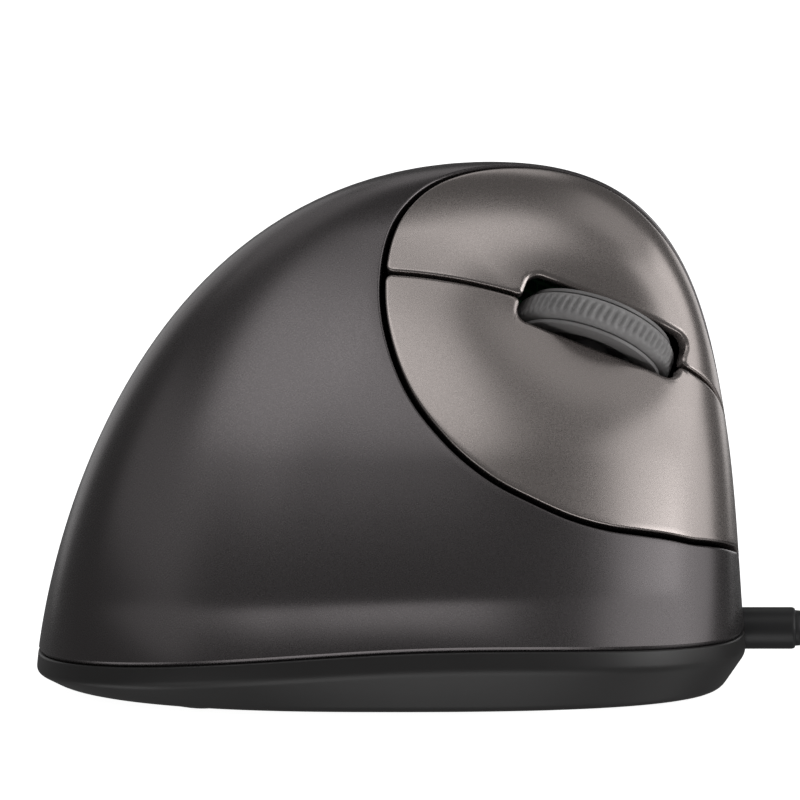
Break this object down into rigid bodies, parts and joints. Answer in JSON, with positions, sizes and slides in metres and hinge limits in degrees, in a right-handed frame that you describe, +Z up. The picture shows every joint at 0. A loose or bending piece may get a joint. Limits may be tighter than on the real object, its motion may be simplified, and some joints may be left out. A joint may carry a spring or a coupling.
{
  "type": "vertical computer mouse",
  "caption": "Right-handed vertical ergonomic mouse with rocking button caps beside a ribbed scroll wheel, thumb buttons, a lipped base and a coiled cable with its plug.",
  "frame": {"origin": "middle of the body's footprint on the desk, without the cable and what is on it", "axes": "+X to the front where the cable leaves, +Y to the thumb side, -Y to the finger side with the two buttons and the wheel, +Z up"},
  "size_m": [0.1954, 0.1053, 0.0777],
  "materials": {
    "shell_plastic": "soft-touch satin, dark charcoal",
    "base_plastic": "satin, near black",
    "button_paint": "satin metallic paint, warm grey",
    "wheel_rubber": "matt grey rubber with moulded ribs",
    "dark_plastic": "moulded black",
    "pale_plastic": "moulded ivory",
    "circuit_board": "green solder mask",
    "steel": "bright steel",
    "plug_steel": "nickel-plated sheet",
    "glide_plastic": "smooth black glide film",
    "cable_jacket": "satin black PVC",
    "tie_band": "black nylon",
    "clear_plastic": "clear moulded lens",
    "red_plastic": "clear red"
  },
  "bodies": {
    "housing": {"main_shell": "shell_plastic", "base_plate": "base_plastic", "glide_feet": "glide_plastic", "base_screws": "steel", "inner_frame": "dark_plastic", "hinge_pin": "steel", "encoder": "dark_plastic", "button_board": "circuit_board", "upper_switch": "dark_plastic", "lower_switch": "dark_plastic", "middle_switch": "dark_plastic", "thumb_board": "circuit_board", "forward_switch": "dark_plastic", "back_switch": "dark_plastic", "main_board": "circuit_board", "sensor_chip": "dark_plastic", "sensor_lens": "clear_plastic", "sensor_led": "red_plastic", "cable_socket": "pale_plastic", "inner_lead": "cable_jacket", "strain_relief": "cable_jacket", "cable_lead": "cable_jacket", "cable_coil": "cable_jacket", "cable_tail": "cable_jacket", "cable_tie": "tie_band", "usb_grip": "cable_jacket", "usb_shell": "plug_steel", "usb_tongue": "pale_plastic"},
    "upper_cap": {"upper_button": "button_paint"},
    "lower_cap": {"lower_button": "button_paint"},
    "wheel_carrier": {"axle_shoe": "pale_plastic"},
    "wheel": {"wheel_tyre": "wheel_rubber", "wheel_hub": "dark_plastic", "wheel_axle": "steel", "encoder_rotor": "pale_plastic"},
    "upper_pin": {"upper_plunger": "pale_plastic"},
    "lower_pin": {"lower_plunger": "pale_plastic"},
    "middle_pin": {"middle_plunger": "pale_plastic"},
    "forward_cap": {"thumb_forward": "shell_plastic"},
    "back_cap": {"thumb_back": "shell_plastic"},
    "forward_pin": {"forward_plunger": "pale_plastic"},
    "back_pin": {"back_plunger": "pale_plastic"}
  },
  "joints": [
    {"name": "upper_press", "type": "hinge", "parent": "housing", "child": "upper_cap", "pos_m": [0.00429, -0.0022, 0.05954], "axis": [0.3161, 0.4765, 0.8204], "range_deg": [0, 0.5], "stiffness_Nm_per_rad": 1.6, "springref_deg": -0.23},
    {"name": "lower_press", "type": "hinge", "parent": "housing", "child": "lower_cap", "pos_m": [0.00429, -0.0022, 0.05954], "axis": [0.3161, 0.4765, 0.8204], "range_deg": [0, 0.5], "stiffness_Nm_per_rad": 1.6, "springref_deg": -0.23},
    {"name": "upper_plunger_slide", "type": "slide", "parent": "housing", "child": "upper_pin", "axis": [-0.1924, 0.8789, -0.4364], "range_m": [0, 0.00035]},
    {"name": "lower_plunger_slide", "type": "slide", "parent": "housing", "child": "lower_pin", "axis": [-0.1924, 0.8789, -0.4364], "range_m": [0, 0.00035]},
    {"name": "wheel_tilt", "type": "hinge", "parent": "housing", "child": "wheel_carrier", "pos_m": [0.02807, -0.00435, 0.04614], "axis": [-0.929, -0.0199, 0.3695], "range_deg": [0, 1.2], "stiffness_Nm_per_rad": 0.7, "springref_deg": -0.29},
    {"name": "wheel_spin", "type": "hinge", "parent": "wheel_carrier", "child": "wheel", "pos_m": [0.03028, -0.00101, 0.05188], "axis": [0.3161, 0.4765, 0.8204], "continuous": true},
    {"name": "middle_plunger_slide", "type": "slide", "parent": "housing", "child": "middle_pin", "axis": [-0.1924, 0.8789, -0.4364], "range_m": [0, 0.0003]},
    {"name": "forward_press", "type": "slide", "parent": "housing", "child": "forward_cap", "axis": [0.0535, -0.9912, -0.1213], "range_m": [0, 0.0004], "stiffness_N_per_m": 2000, "springref_m": -0.0002},
    {"name": "back_press", "type": "slide", "parent": "housing", "child": "back_cap", "axis": [0.0535, -0.9912, -0.1213], "range_m": [0, 0.0004], "stiffness_N_per_m": 2000, "springref_m": -0.0002},
    {"name": "forward_plunger_slide", "type": "slide", "parent": "housing", "child": "forward_pin", "axis": [0.0535, -0.9912, -0.1213], "range_m": [0, 0.0004]},
    {"name": "back_plunger_slide", "type": "slide", "parent": "housing", "child": "back_pin", "axis": [0.0535, -0.9912, -0.1213], "range_m": [0, 0.0004]}
  ],
  "couplings": [
    {"joint": "upper_plunger_slide", "follows": "upper_press", "m_per_rad": 0.0296},
    {"joint": "lower_plunger_slide", "follows": "lower_press", "m_per_rad": 0.0296},
    {"joint": "middle_plunger_slide", "follows": "wheel_tilt", "m_per_rad": 0.01245},
    {"joint": "forward_plunger_slide", "follows": "forward_press", "ratio": 1},
    {"joint": "back_plunger_slide", "follows": "back_press", "ratio": 1}
  ]
}
